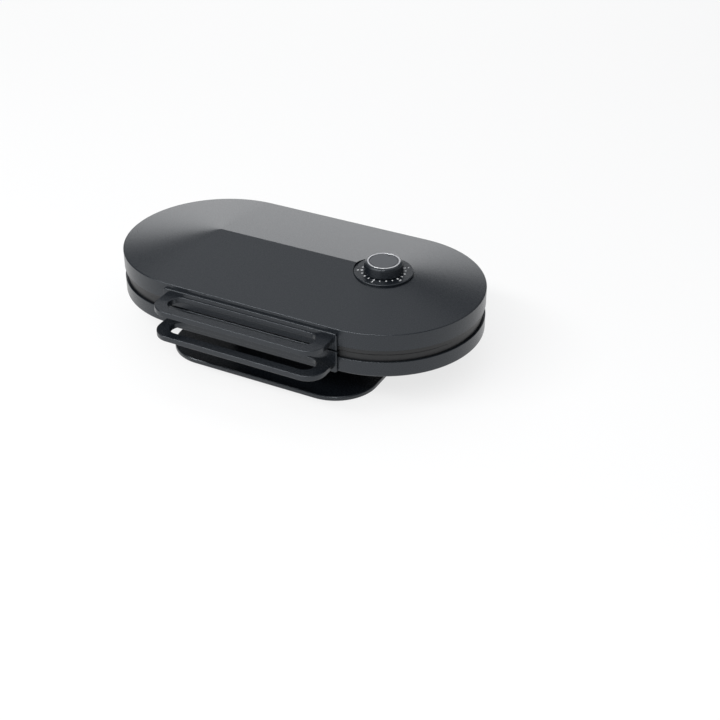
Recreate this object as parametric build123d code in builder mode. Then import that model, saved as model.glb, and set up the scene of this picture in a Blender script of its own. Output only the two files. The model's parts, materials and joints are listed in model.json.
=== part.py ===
from build123d import *
import os
from math import asin, cos, degrees, hypot, radians, sin, sqrt

# A double waffle maker. Millimetres, +Z up, +X to the right, and the front with the handles faces -Y.
# The origin is on the table, at the middle of the machine's bounding box.

# The body's plan is a stadium, straight along the front and back and round at both ends
body_length = 460.0
body_width = 239.2
wall = 2.5
moulding_clearance = 0.5

# Heights, from the table up
pad_height = 1.0
foot_thickness = 5.5
pedestal_height = 42.5
shield_air_gap = 3.5
base_band_height = 8.2
groove_height = 1.3
lid_band_height = 5.2
lid_headroom = 4.9
roof_rise = 16.7
edge_chamfer = 0.8

# How far the frames' bands stand inside the shells' walls
lid_band_inset = 1.2
base_band_inset = wall + moulding_clearance
deck_thickness = 4.0
lid_lip_height = 4.8
lid_screw_length = 13.0
skirt_drop = 4.5

# Round baking bays, one at each end
bay_margin = 22.0
bay_web = 20.0
rim_gap = 0.4
flange_thickness = 2.0
flange_width = 8.8
flange_clearance = 0.4
opening_clearance = 2.0
cavity_depth = 8.0
divider_drop = 3.0
pan_floor = 3.0
shield_ledge = 5.8

# Each bay bakes five hearts that meet at its middle
heart_count = 5
heart_divider = 3.0
heart_margin = 6.0
stud_size = 7.0
stud_pitch = 11.5
stud_height = 4.5
stud_taper = 20.0
stud_margin = 5.2

# Tubular heating elements and the sheet shields behind them
heater_radius = 3.3
heater_inset = 30.0
heater_rib_width = 14.0
heater_rib_height = 4.0
heater_clearance = 0.1
heater_pin_radius = 1.6
heater_pin_length = 7.0
terminal_reach = 14.0
shield_thickness = 1.0
shield_drop = 9.65
shield_flange = 5.5
plate_boss_radius = 5.0
plate_boss_inset = 12.0
plate_head_height = 1.8

# Loop handles
handle_reach = 42.4
handle_thickness = 7.0
handle_bar = 12.0
handle_side_bar = 15.0
handle_corner = 22.0
handle_overhang = -0.4
handle_edge = 0.8
handle_screw_rise = 1.0
handle_screw_length = 19.0
handle_slot_back = 1.6
handle_plate_thickness = 3.2
handle_plate_overhang = 4.0
handle_plate_round = 2.4
upper_loop_rise = 8.8
upper_plate_height = 21.1
lower_loop_rise = 5.3
lower_plate_drop = 0.5

# Hinges at the back
hinge_from_end = 37.2
hinge_reach = 9.0
knuckle_radius = 7.0
knuckle_width = 18.0
lug_width = 5.0
hinge_pad_width = 46.0
hinge_pad_height = 15.0
hinge_pad_thickness = 3.2
hinge_pad_edge = 1.5
hinge_pad_corner = 2.0
hinge_screw_inset = 4.2
base_pad_drop = 1.0
lid_pad_rise = 2.0
web_foot = 0.4
pin_radius = 3.0
pin_head_radius = 4.8
pin_head_height = 1.5
pin_head_edge = 0.5
clip_radius = 4.6
clip_thickness = 0.8
clip_mouth = 2.0
hinge_side_clearance = 0.4
pin_clearance = 0.05
backing_thickness = 2.0
backing_height = 7.0
pin_end = 1.6
clip_groove_depth = 0.6
clip_groove_gap = 0.2
clip_play = 0.1

# Foot plate, pedestal and pads
foot_length = 268.0
foot_width = 232.0
foot_corner = 53.0
foot_edge = 1.2
pedestal_length = 170.0
pedestal_width = 120.0
pedestal_corner = 50.0
pad_radius = 9.0
pad_recess = 1.5
pad_inset = 27.0

# Cord entry, in the pedestal's back wall
gland_height = 21.5
gland_radius = 7.3
gland_flange_radius = 10.5
gland_flange_thickness = 2.0
gland_boot_length = 12.0
gland_tip_radius = 5.6
gland_lip_step = 1.0
cord_radius = 3.6
clamp_post_radius = 4.5
clamp_pitch = 24.0
clamp_width = 9.0
clamp_thickness = 4.0
clamp_from_wall = 14.0
clamp_arch = 3.0
clamp_screw_length = 12.0

# Dial
dial_radius = 35.0
dial_thickness = 3.4
dial_edge = 0.4
dial_drop = 2.1
dial_seat_clearance = 0.3
knob_radius = 23.3
knob_height = 13.0
knob_gap = 0.8
knob_bevel_height = 2.2
knob_bevel_width = 3.0
knob_draft = 0.9
knob_wall = 2.4
knob_hub_radius = 7.0
knob_roof = 4.7
ring_border = 0.9
ring_width = 2.2
ring_depth = 1.2
cap_thickness = 1.0
cap_border = 0.8
cap_clearance = 0.15
pointer_length = 3.2
pointer_width = 1.0
pointer_border = 1.4
shaft_radius = 3.0
shaft_hole_radius = 5.0
shaft_flat = 0.8
socket_roof = 3.2

# Thermostat under the dial, and the cut-outs of the other bays
thermostat_length = 34.0
thermostat_width = 22.0
thermostat_height = 13.0
bush_radius = 5.0
bush_height = 3.6
bracket_end = 4.0
bracket_width = 14.0
bracket_thickness = 1.2
sensor_screw_gap = 4.0
cutout_radius = 8.5
cutout_height = 6.5
sensor_screw_length = 3.4
thermostat_opening_gap = 4.0

# Terminal block and wire grommet
block_length = 36.0
block_width = 16.0
block_height = 11.0
block_from_wall = 42.8
block_screw_inset = 4.0
block_corner = 1.5
standoff_radius = 3.0
standoff_height = 2.0
way_radius = 2.0
way_depth = 4.0
way_pitch = 7.0
grommet_radius = 8.0
grommet_flange_radius = 10.5
grommet_flange_thickness = 1.5
grommet_bore_radius = 5.5
grommet_screw_gap = 26.0

# Vents in the base's floor, two rows under each bay
vent_y = 70.0
vent_pitch = 12.0
vent_count = 5
vent_length = 24.0
vent_width = 4.0

# Fasteners
boss_radius = 4.5
corner_boss_gap = 1.2
middle_boss_inset = 20.8
boss_skin = 1.0
screw_radius = 1.75
screw_clearance = 0.25
screw_end_clearance = 0.5
pilot_clearance = 0.05
head_radius = 3.3
head_height = 2.0
head_clearance = 0.3
small_screw_radius = 1.45
small_head_radius = 2.7
small_head_height = 1.6
driver_slot = 0.8
pedestal_screw_reach = 14.0
pedestal_screw_gap = 12.0
pedestal_head_gap = 1.0
pedestal_boss_gap = 1.0
foot_screw_inset = 7.6
pedestal_boss_height = 11.0
base_screw_sink = 8.5
bumper_radius = 3.0
bumper_x = 40.0
bumper_inset = 18.0
bumper_clearance = 0.2

# Plan and heights worked out from the sizes above
half_length = body_length / 2
half_width = body_width / 2
end_x = half_length - half_width
front_reach = half_width + handle_reach
back_reach = half_width + hinge_reach + knuckle_radius
body_y = (front_reach - back_reach) / 2

plate_radius = min((half_length - bay_margin - bay_web / 2) / 2, half_width - bay_margin)
bay_x = half_length - bay_margin - plate_radius
pan_radius = plate_radius - flange_width
heart_radius = pan_radius - heart_margin
pan_back = rim_gap / 2 + cavity_depth + pan_floor
heater_depth = pan_back + heater_rib_height
shield_depth = pan_back + shield_drop
shield_radius = pan_radius + shield_ledge - shield_thickness
heater_turn = pan_radius - heater_inset
heater_leg = sqrt(shield_radius**2 - heater_turn**2) + terminal_reach
plate_boss_ring = pan_radius - plate_boss_inset
shield_outside = bay_margin + flange_width - shield_ledge - shield_flange
corner_boss_inset = shield_outside - corner_boss_gap - boss_radius
opening_radius = pan_radius + opening_clearance

foot_top = pad_height + foot_thickness
base_bottom = foot_top + pedestal_height
base_floor = base_bottom + wall
parting = base_floor + shield_air_gap + shield_depth + shield_thickness
base_face = parting - groove_height / 2
base_rim = base_face - base_band_height
lid_face = parting + groove_height / 2
lid_rim = lid_face + lid_band_height
lid_edge = parting + shield_depth + shield_thickness + lid_headroom
ridge = lid_edge + roof_rise

dial_x = end_x
dial_face = ridge - dial_drop
dial_seat = dial_face - dial_thickness
sensor_shift = dial_x - bay_x
sensor_pitch = thermostat_length + 2 * sensor_screw_gap
bracket_length = sensor_pitch + 2 * bracket_end
thermostat_opening = bracket_length / 2 + thermostat_opening_gap
hinge_x = end_x - hinge_from_end
hinge_y = half_width + hinge_reach
handle_half = end_x + handle_overhang
handle_screw_x = handle_half - handle_side_bar / 2
upper_loop = lid_face + upper_loop_rise
lower_loop = base_bottom - lower_plate_drop + lower_loop_rise
gland_z = foot_top + gland_height
pedestal_screw_inset = wall + head_radius + pedestal_head_gap
pedestal_screw_y = min(heater_turn - pedestal_screw_gap, pedestal_width / 2 - pedestal_screw_inset)
pedestal_boss_ring = pan_radius + shield_ledge + boss_radius + pedestal_boss_gap
pedestal_boss_limit = bay_x - sqrt(pedestal_boss_ring**2 - pedestal_screw_y**2)
pedestal_screw_x = min(pedestal_screw_reach, pedestal_boss_limit)
grommet_y = pedestal_screw_y - grommet_screw_gap

os.makedirs("parts", exist_ok=True)


def level(z):
    """The horizontal plane at height z, with its origin in the middle of the body's plan."""
    return Plane((0, body_y, z))


def plan(inset, mode=Mode.ADD):
    """The body's stadium outline, drawn in by an inset, in the sketch that is open."""
    SlotOverall(body_length - 2 * inset, body_width - 2 * inset, mode=mode)


def bay(side, half, depth):
    """A plane over a bay, a depth away from the parting plane. It looks away from that plane, and its
    X axis points to the body's end. side is 1 on the right, and half is 1 in the lid and -1 in the base."""
    return Plane((side * bay_x, body_y, parting + half * depth), x_dir=(side, 0, 0), z_dir=(0, 0, half))


def bay_section(side, half):
    """The upright plane through a bay's middle. Its X is the radius and its Y the depth."""
    origin = (side * bay_x, body_y, parting)
    return Plane(origin, x_dir=(side, 0, 0), z_dir=(0, -side * half, 0))


def spots(side_spots, z, up=1):
    """Planes at plan positions measured from the body's middle. They look up, or down when up is -1."""
    return [Plane((x, body_y + y, z), x_dir=(1, 0, 0), z_dir=(0, 0, up)) for x, y in side_spots]


def corner_spots():
    """The six places where a shell and its frame are screwed together."""
    ring = (half_width - corner_boss_inset) * cos(radians(45))
    middle = half_width - middle_boss_inset
    corners = [(sx * (end_x + ring), sy * ring) for sx in (-1, 1) for sy in (-1, 1)]
    return corners + [(0, -middle), (0, middle)]


def pedestal_spots():
    """The four places where the pedestal is screwed to the base."""
    return [(sx * pedestal_screw_x, sy * pedestal_screw_y) for sx in (-1, 1) for sy in (-1, 1)]


def post(planes, radius, height, mode=Mode.ADD):
    """Adds or cuts a cylinder that stands on each plane."""
    with Locations(*planes):
        Cylinder(radius, height, align=(Align.CENTER, Align.CENTER, Align.MIN), mode=mode)


def screw(planes, radius, length, head, head_thickness):
    """Adds a screw on each plane. The head's underside is on the plane, and the shank runs along it."""
    post(planes, radius, length)
    tops = [plane.offset(-head_thickness) for plane in planes]
    post(tops, head, head_thickness)
    with Locations(*tops):
        bottom = (Align.CENTER, Align.CENTER, Align.MIN)
        Box(driver_slot, head, head_thickness / 2, align=bottom, mode=Mode.SUBTRACT)
        Box(head, driver_slot, head_thickness / 2, align=bottom, mode=Mode.SUBTRACT)


def save(piece, name):
    """Labels a finished piece and writes its file."""
    piece.label = name
    export_step(piece, f"parts/{name}.step")


def roofed_form(inset, bottom, eave, peak):
    """Adds the lid's form to the open part: a stadium block under a ridge between two half cones."""
    reach = half_width - inset
    with BuildSketch(level(bottom)) as outline:
        plan(inset)
    extrude(outline.sketch, amount=eave - bottom)
    with BuildSketch(Plane((-end_x, body_y, eave), x_dir=(0, 1, 0), z_dir=(1, 0, 0))) as gable:
        Polygon((-reach, 0), (reach, 0), (0, peak - eave), align=None)
    extrude(gable.sketch, amount=2 * end_x)
    for side in (-1, 1):
        with Locations(Location((side * end_x, body_y, eave), (0, 0, -90 * side))):
            Cone(reach, 0, peak - eave, arc_size=180, align=None)


# Foot plate with its pads, and the pedestal that lifts the base and holds the wrapped cord

pad_spots = [
    (sx * (foot_length / 2 - pad_inset), sy * (foot_width / 2 - pad_inset))
    for sx in (-1, 1)
    for sy in (-1, 1)
]
pedestal_round = min(pedestal_corner, pedestal_width / 2 - wall)
foot_screw_in = pedestal_round - (pedestal_round - foot_screw_inset) * cos(radians(45))
foot_screw_x = pedestal_length / 2 - foot_screw_in
foot_screw_y = pedestal_width / 2 - foot_screw_in
foot_spots = [(sx * foot_screw_x, sy * foot_screw_y) for sx in (-1, 1) for sy in (-1, 1)]
clamp_y = pedestal_width / 2 - wall - clamp_from_wall
clamp_spots = [(-clamp_pitch / 2, clamp_y), (clamp_pitch / 2, clamp_y)]
clamp_seat = gland_z - cord_radius
foot_screw_sink = head_height + head_clearance

with BuildPart() as foot_plate:
    with BuildSketch(level(pad_height)):
        RectangleRounded(foot_length, foot_width, foot_corner)
    extrude(amount=foot_thickness)
    chamfer(foot_plate.faces().sort_by(Axis.Z)[-1].edges(), length=foot_edge)
    post(spots(pad_spots, pad_height), pad_radius, pad_recess, Mode.SUBTRACT)
    post(spots(clamp_spots, foot_top), clamp_post_radius, clamp_seat - foot_top)
    post(spots(clamp_spots, foot_top), small_screw_radius + pilot_clearance, clamp_seat, Mode.SUBTRACT)
    post(spots(foot_spots, pad_height), head_radius + head_clearance, foot_screw_sink, Mode.SUBTRACT)
    post(spots(foot_spots, pad_height), screw_radius + screw_clearance, foot_thickness, Mode.SUBTRACT)
save(foot_plate.part, "foot_plate")

with BuildPart() as foot_pads:
    post(spots(pad_spots, 0), pad_radius, pad_height + pad_recess)
save(foot_pads.part, "foot_pads")

with BuildPart() as pedestal:
    with BuildSketch(level(foot_top)):
        RectangleRounded(pedestal_length, pedestal_width, pedestal_round)
    extrude(amount=pedestal_height)
    with BuildSketch(level(foot_top)):
        inner = pedestal_round - wall
        RectangleRounded(pedestal_length - 2 * wall, pedestal_width - 2 * wall, inner)
    extrude(amount=pedestal_height - wall, mode=Mode.SUBTRACT)
    post(spots(foot_spots, foot_top), boss_radius, pedestal_height - wall / 2)
    pilot = pedestal_height / 2
    post(spots(foot_spots, foot_top), screw_radius + pilot_clearance, pilot, Mode.SUBTRACT)
    deck = base_bottom - wall
    post(spots(pedestal_spots(), deck), screw_radius + screw_clearance, wall, Mode.SUBTRACT)
    post(spots([(0, grommet_y)], deck), grommet_radius, wall, Mode.SUBTRACT)
    back_wall = Plane((0, body_y + pedestal_width / 2 - wall, gland_z), x_dir=(1, 0, 0), z_dir=(0, 1, 0))
    post([back_wall.offset(-1)], gland_radius, wall + 2, Mode.SUBTRACT)
save(pedestal.part, "pedestal")

with BuildPart() as foot_screws:
    seats = spots(foot_spots, pad_height + foot_screw_sink)
    screw(seats, screw_radius, pedestal_height / 2, head_radius, head_height)
save(foot_screws.part, "foot_screws")

with BuildPart() as pedestal_screws:
    seats = spots(pedestal_spots(), base_bottom - wall)
    screw(seats, screw_radius, wall + pedestal_boss_height, head_radius, head_height)
save(pedestal_screws.part, "pedestal_screws")

with BuildPart() as cord_gland:
    post([back_wall], gland_radius, wall)
    outside = back_wall.offset(wall)
    post([outside], gland_flange_radius, gland_flange_thickness)
    boot = outside.offset(gland_flange_thickness)
    with Locations(boot):
        base_align = (Align.CENTER, Align.CENTER, Align.MIN)
        Cone(gland_radius, gland_tip_radius, gland_boot_length, align=base_align)
    post([back_wall], cord_radius, wall + gland_flange_thickness + gland_boot_length, Mode.SUBTRACT)
    with Locations(back_wall.offset(-gland_flange_thickness / 2)):
        Cylinder(gland_flange_radius - gland_lip_step, gland_flange_thickness)
        Cylinder(cord_radius, gland_flange_thickness, mode=Mode.SUBTRACT)
save(cord_gland.part, "cord_gland")

with BuildPart() as cord_clamp:
    with BuildSketch(Plane((0, body_y + clamp_y, clamp_seat), x_dir=(1, 0, 0), z_dir=(0, -1, 0))):
        Rectangle(clamp_pitch + clamp_width, clamp_thickness, align=(Align.CENTER, Align.MIN))
        Circle(cord_radius + clamp_arch)
        Rectangle(3 * clamp_pitch, 2 * clamp_pitch, align=(Align.CENTER, Align.MAX), mode=Mode.SUBTRACT)
        Circle(cord_radius, mode=Mode.SUBTRACT)
    extrude(amount=clamp_width / 2, both=True)
    holes = spots(clamp_spots, clamp_seat)
    post(holes, small_screw_radius + screw_clearance, clamp_thickness, Mode.SUBTRACT)
save(cord_clamp.part, "cord_clamp")

with BuildPart() as clamp_screws:
    seats = spots(clamp_spots, clamp_seat + clamp_thickness, -1)
    screw(seats, small_screw_radius, clamp_screw_length, small_head_radius, small_head_height)
save(clamp_screws.part, "clamp_screws")

# Base shell: a tray whose rim shows as a narrow ledge below the base frame's band

loop_middle = handle_thickness / 2 + handle_screw_rise
handle_screw_z = {-1: lower_loop + loop_middle, 1: upper_loop + loop_middle}
hinge_screw_x = hinge_pad_width / 2 - hinge_screw_inset
base_pad_z = base_rim - hinge_pad_height / 2 - base_pad_drop
lid_pad_z = lid_rim + hinge_pad_height / 2 + lid_pad_rise


def front_spots(half):
    """Planes on the front wall's outer face at a handle's screws. They look out of the machine."""
    z = handle_screw_z[half]
    return [
        Plane((sx * handle_screw_x, body_y - half_width, z), x_dir=(1, 0, 0), z_dir=(0, -1, 0))
        for sx in (-1, 1)
    ]


def back_spots(side, z):
    """Planes on the back wall's outer face at a hinge pad's two screws. They look into the machine."""
    return [
        Plane((side * hinge_x + dx, body_y + half_width, z), x_dir=(1, 0, 0), z_dir=(0, -1, 0))
        for dx in (-hinge_screw_x, hinge_screw_x)
    ]


def drill_walls(half, pad_z):
    """Cuts the handle's and the hinges' screw holes in the open shell's walls."""
    inner_faces = [plane.offset(-wall) for plane in front_spots(half)]
    post(inner_faces, small_screw_radius + screw_clearance, wall, Mode.SUBTRACT)
    for side in (-1, 1):
        post(back_spots(side, pad_z), small_screw_radius + screw_clearance, wall, Mode.SUBTRACT)


block_y = half_width - block_from_wall
block_screw_x = block_length / 2 - block_screw_inset
block_spots = [(-block_screw_x, block_y), (block_screw_x, block_y)]
block_seat = base_floor + standoff_height
block_top = block_seat + block_height

with BuildPart() as base_hollow:
    with BuildSketch(level(base_floor)):
        plan(wall)
    extrude(amount=base_rim - base_floor)
    post(spots(corner_spots(), base_floor), boss_radius, base_rim - base_floor, Mode.SUBTRACT)
    post(spots(pedestal_spots(), base_floor), boss_radius, pedestal_boss_height, Mode.SUBTRACT)
    post(spots(block_spots, base_floor), standoff_radius, standoff_height, Mode.SUBTRACT)

with BuildPart() as base_shell:
    with BuildSketch(level(base_bottom)):
        plan(0)
    extrude(amount=base_rim - base_bottom)
    fillet(base_shell.faces().sort_by(Axis.Z)[0].edges(), radius=wall)
    add(base_hollow.part, mode=Mode.SUBTRACT)
    base_seat = base_bottom + base_screw_sink
    post(spots(corner_spots(), base_bottom), head_radius + head_clearance, base_screw_sink, Mode.SUBTRACT)
    post(spots(corner_spots(), base_bottom), screw_radius + screw_clearance, base_rim, Mode.SUBTRACT)
    pilot = wall + pedestal_boss_height - boss_skin
    post(spots(pedestal_spots(), base_bottom), screw_radius + pilot_clearance, pilot, Mode.SUBTRACT)
    pilot = wall + standoff_height - boss_skin / 2
    tops = spots(block_spots, block_seat, -1)
    post(tops, small_screw_radius + pilot_clearance, pilot, Mode.SUBTRACT)
    post(spots([(0, grommet_y)], base_bottom), grommet_radius, wall, Mode.SUBTRACT)
    with BuildSketch(level(base_bottom)):
        for sx in (-1, 1):
            with Locations((sx * bay_x, 0)):
                with GridLocations(vent_pitch, 2 * vent_y, vent_count, 2):
                    SlotOverall(vent_length, vent_width, rotation=90)
    extrude(amount=wall, mode=Mode.SUBTRACT)
    drill_walls(-1, base_pad_z)
save(base_shell.part, "base_shell")

with BuildPart() as base_screws:
    shank = base_face - boss_skin - screw_end_clearance - base_seat
    screw(spots(corner_spots(), base_seat), screw_radius, shank, head_radius, head_height)
save(base_screws.part, "base_screws")

with BuildPart() as wire_grommet:
    spot = spots([(0, grommet_y)], base_bottom - wall - grommet_flange_thickness)
    post(spot, grommet_flange_radius, grommet_flange_thickness)
    post(spot, grommet_radius, 2 * wall + grommet_flange_thickness)
    top = spots([(0, grommet_y)], base_floor)
    post(top, grommet_flange_radius, grommet_flange_thickness)
    post(spot, grommet_bore_radius, 2 * wall + 2 * grommet_flange_thickness, Mode.SUBTRACT)
save(wire_grommet.part, "wire_grommet")

with BuildPart() as terminal_block:
    block_align = (Align.CENTER, Align.CENTER, Align.MIN)
    with Locations((0, body_y + block_y, block_seat)):
        Box(block_length, block_width, block_height, align=block_align)
    fillet(terminal_block.edges().filter_by(Axis.Z), radius=block_corner)
    ways = spots([(dx, block_y) for dx in (-way_pitch, 0, way_pitch)], block_top, -1)
    post(ways, way_radius, way_depth, Mode.SUBTRACT)
    holes = spots(block_spots, block_seat)
    post(holes, small_screw_radius + screw_clearance, block_height, Mode.SUBTRACT)
save(terminal_block.part, "terminal_block")

with BuildPart() as terminal_screws:
    seats = spots(block_spots, block_top, -1)
    length = block_height + standoff_height + boss_skin
    screw(seats, small_screw_radius, length, small_head_radius, small_head_height)
save(terminal_screws.part, "terminal_screws")

# Frames: each holds its half's two baking plates and closes the shell at the parting groove


def bay_openings(half):
    """Cuts the two round openings and the rebates that the plates' flanges lie in."""
    for side in (-1, 1):
        post([bay(side, half, 0)], opening_radius, deck_thickness * 2, Mode.SUBTRACT)
        rebate = rim_gap / 2 + flange_thickness
        post([bay(side, half, 0)], plate_radius + flange_clearance, rebate, Mode.SUBTRACT)


with BuildPart() as base_frame:
    with BuildSketch(level(base_face - deck_thickness)):
        plan(base_band_inset)
    extrude(amount=deck_thickness)
    with BuildSketch(level(base_rim - skirt_drop)):
        plan(base_band_inset)
        plan(base_band_inset + wall, Mode.SUBTRACT)
    extrude(amount=base_band_height + skirt_drop - deck_thickness)
    bay_openings(-1)
    post(spots(corner_spots(), base_rim), boss_radius, base_band_height - deck_thickness)
    pilot = base_band_height - boss_skin
    post(spots(corner_spots(), base_rim), screw_radius + pilot_clearance, pilot, Mode.SUBTRACT)
    bumper_spots = [(sx * bumper_x, sy * (half_width - bumper_inset)) for sx in (-1, 1) for sy in (-1, 1)]
    post(spots(bumper_spots, base_face, -1), bumper_radius, boss_skin, Mode.SUBTRACT)
save(base_frame.part, "base_frame")

with BuildPart() as lid_bumpers:
    tall = boss_skin + groove_height - bumper_clearance
    post(spots(bumper_spots, base_face - boss_skin), bumper_radius, tall)
save(lid_bumpers.part, "lid_bumpers")

with BuildPart() as lid_frame:
    band_inner = base_band_inset + wall
    with BuildSketch(level(lid_face)):
        plan(lid_band_inset)
    extrude(amount=deck_thickness)
    with BuildSketch(level(lid_face)):
        plan(lid_band_inset)
        plan(band_inner, Mode.SUBTRACT)
    extrude(amount=lid_band_height)
    with BuildSketch(level(lid_rim)):
        plan(wall + moulding_clearance)
        plan(band_inner, Mode.SUBTRACT)
    extrude(amount=lid_lip_height)
    bay_openings(1)
    post(spots(corner_spots(), lid_face), boss_radius, lid_band_height)
    sink = head_height + head_clearance
    post(spots(corner_spots(), lid_face), head_radius + head_clearance, sink, Mode.SUBTRACT)
    post(spots(corner_spots(), lid_face), screw_radius + screw_clearance, lid_band_height, Mode.SUBTRACT)
    with Locations(*[plane.offset(-wall) for plane in front_spots(1)]):
        notch = (Align.CENTER, Align.CENTER, Align.MAX)
        Box(3 * small_head_radius, 3 * small_head_radius, 2 * wall, align=notch, mode=Mode.SUBTRACT)
save(lid_frame.part, "lid_frame")

with BuildPart() as lid_screws:
    screw(spots(corner_spots(), lid_face + sink), screw_radius, lid_screw_length, head_radius, head_height)
save(lid_screws.part, "lid_screws")

# Lid shell: a hipped roof over a stadium wall, with a flat seat for the dial at the ridge's right end

slope = roof_rise / half_width
roof_thickness = wall * sqrt(1 + slope**2)
inner_eave = lid_edge + slope * wall - roof_thickness
seat_floor = dial_seat - wall

with BuildPart() as lid_hollow:
    roofed_form(wall, lid_rim, inner_eave, ridge - roof_thickness)
    post(spots(corner_spots(), lid_rim), boss_radius, roof_rise * 2, Mode.SUBTRACT)
    post(spots([(dial_x, 0)], seat_floor), dial_radius + wall, roof_rise, Mode.SUBTRACT)

with BuildPart() as lid_shell:
    roofed_form(0, lid_rim, lid_edge, ridge)
    eaves = lid_shell.edges().filter_by_position(Axis.Z, lid_edge - 0.01, lid_edge + 0.01)
    chamfer(eaves, length=edge_chamfer)
    add(lid_hollow.part, mode=Mode.SUBTRACT)
    seat = spots([(dial_x, 0)], dial_seat)
    post(seat, dial_radius + dial_seat_clearance, roof_rise, Mode.SUBTRACT)
    post(spots([(dial_x, 0)], seat_floor - wall), shaft_hole_radius, roof_rise, Mode.SUBTRACT)
    pilot = lid_face + sink + lid_screw_length + screw_end_clearance - lid_rim
    post(spots(corner_spots(), lid_rim), screw_radius + pilot_clearance, pilot, Mode.SUBTRACT)
    drill_walls(1, lid_pad_z)
save(lid_shell.part, "lid_shell")

with BuildPart() as dial_plate:
    post(seat, dial_radius, dial_thickness)
    chamfer(dial_plate.faces().sort_by(Axis.Z)[-1].edges(), length=dial_edge)
    post(seat, shaft_hole_radius, dial_thickness, Mode.SUBTRACT)
save(dial_plate.part, "dial_plate")

# One heart, with its tip near the bay's middle and its axis along X: two straight sides and two round lobes

sector = radians(180 / heart_count)
lobe_offset_share = 0.72
heart_tip = heart_divider / 2 / sin(sector)
# the lobe's middle is at x = heart_tip + lobe_run * r and y = lobe_offset_share * r for a lobe of radius r
lobe_run = (1 + lobe_offset_share * cos(sector)) / sin(sector)
square = lobe_run**2 + lobe_offset_share**2 - 1
linear = 2 * (heart_tip * lobe_run + heart_radius)
lobe_radius = (-linear + sqrt(linear**2 - 4 * square * (heart_tip**2 - heart_radius**2))) / (2 * square)
lobe_x = heart_tip + lobe_run * lobe_radius
lobe_y = lobe_offset_share * lobe_radius
lobe_start = 90 + degrees(sector)
lobe_turn = -(lobe_start + degrees(asin(lobe_offset_share)))
side_end = Vector(lobe_x - lobe_radius * sin(sector), lobe_y + lobe_radius * cos(sector))


def in_heart(x, y):
    """Is a stud at (x, y) clear of the heart's edge?"""
    along = (x - heart_tip) * cos(sector) + abs(y) * sin(sector)
    inwards = (x - heart_tip) * sin(sector) - abs(y) * cos(sector)
    lobe_along = (lobe_x - heart_tip) * cos(sector) + lobe_y * sin(sector)
    in_lobe = hypot(x - lobe_x, abs(y) - lobe_y) <= lobe_radius - stud_margin
    return inwards >= stud_margin and (along <= lobe_along or in_lobe)


stud_columns = range(1, int(heart_radius / stud_pitch) + 1)
stud_rows = range(-3, 4)
stud_spots = [
    (column * stud_pitch, row * stud_pitch)
    for column in stud_columns
    for row in stud_rows
    if in_heart(column * stud_pitch, row * stud_pitch)
]

with BuildSketch() as heart:
    with BuildLine():
        Line((heart_tip, 0), side_end)
        CenterArc((lobe_x, lobe_y), lobe_radius, lobe_start, lobe_turn)
        CenterArc((lobe_x, -lobe_y), lobe_radius, -lobe_start - lobe_turn, lobe_turn)
        Line((side_end.X, -side_end.Y), (heart_tip, 0))
    make_face()


def baking_plate(side, half):
    """A cast baking plate: a flange, a pan with five hearts full of studs, and a ribbed back."""
    face = rim_gap / 2
    with BuildPart() as plate:
        post([bay(side, half, face)], plate_radius, flange_thickness)
        post([bay(side, half, face)], pan_radius, pan_back - face)
        with BuildSketch(bay(side, half, face)):
            Circle(lobe_x)
            with PolarLocations(0, heart_count):
                add(heart.sketch)
        extrude(amount=divider_drop, mode=Mode.SUBTRACT)
        with BuildSketch(bay(side, half, face)):
            with PolarLocations(0, heart_count):
                add(heart.sketch)
        extrude(amount=cavity_depth, mode=Mode.SUBTRACT)
        floor = Plane(bay(side, half, face + cavity_depth).origin, x_dir=(side, 0, 0), z_dir=(0, 0, -half))
        with BuildSketch(floor):
            with PolarLocations(0, heart_count):
                with Locations(*stud_spots):
                    Rectangle(stud_size, stud_size)
        extrude(amount=stud_height, taper=stud_taper)
        with BuildSketch(bay(side, half, pan_back)):
            with BuildLine():
                Line((heater_turn - heater_leg + terminal_reach, heater_turn), (0, heater_turn))
                CenterArc((0, 0), heater_turn, 90, -180)
                Line((0, -heater_turn), (heater_turn - heater_leg + terminal_reach, -heater_turn))
            trace(line_width=heater_rib_width)
        extrude(amount=heater_rib_height)
        bosses = PolarLocations(plate_boss_ring, 4)
        with BuildSketch(bay(side, half, pan_back)):
            with bosses:
                Circle(plate_boss_radius)
        extrude(amount=shield_drop)
        with BuildSketch(bay(side, half, shield_depth)):
            with bosses:
                Circle(screw_radius + pilot_clearance)
        extrude(amount=boss_skin - shield_drop, mode=Mode.SUBTRACT)
        with BuildSketch(bay(side, half, pan_back)):
            with Locations((sensor_shift - sensor_pitch / 2, 0), (sensor_shift + sensor_pitch / 2, 0)):
                Circle(small_screw_radius + pilot_clearance)
        extrude(amount=boss_skin / 2 - pan_floor, mode=Mode.SUBTRACT)
        with BuildLine(bay(side, half, heater_depth)) as groove:
            Line((-heater_leg, heater_turn), (0, heater_turn))
            CenterArc((0, 0), heater_turn, 90, -180)
            Line((0, -heater_turn), (-heater_leg, -heater_turn))
        with BuildSketch(Plane(groove.line @ 0, z_dir=groove.line % 0)):
            Circle(heater_radius + heater_clearance)
        sweep(path=groove.line, mode=Mode.SUBTRACT)
    return plate.part


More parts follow.
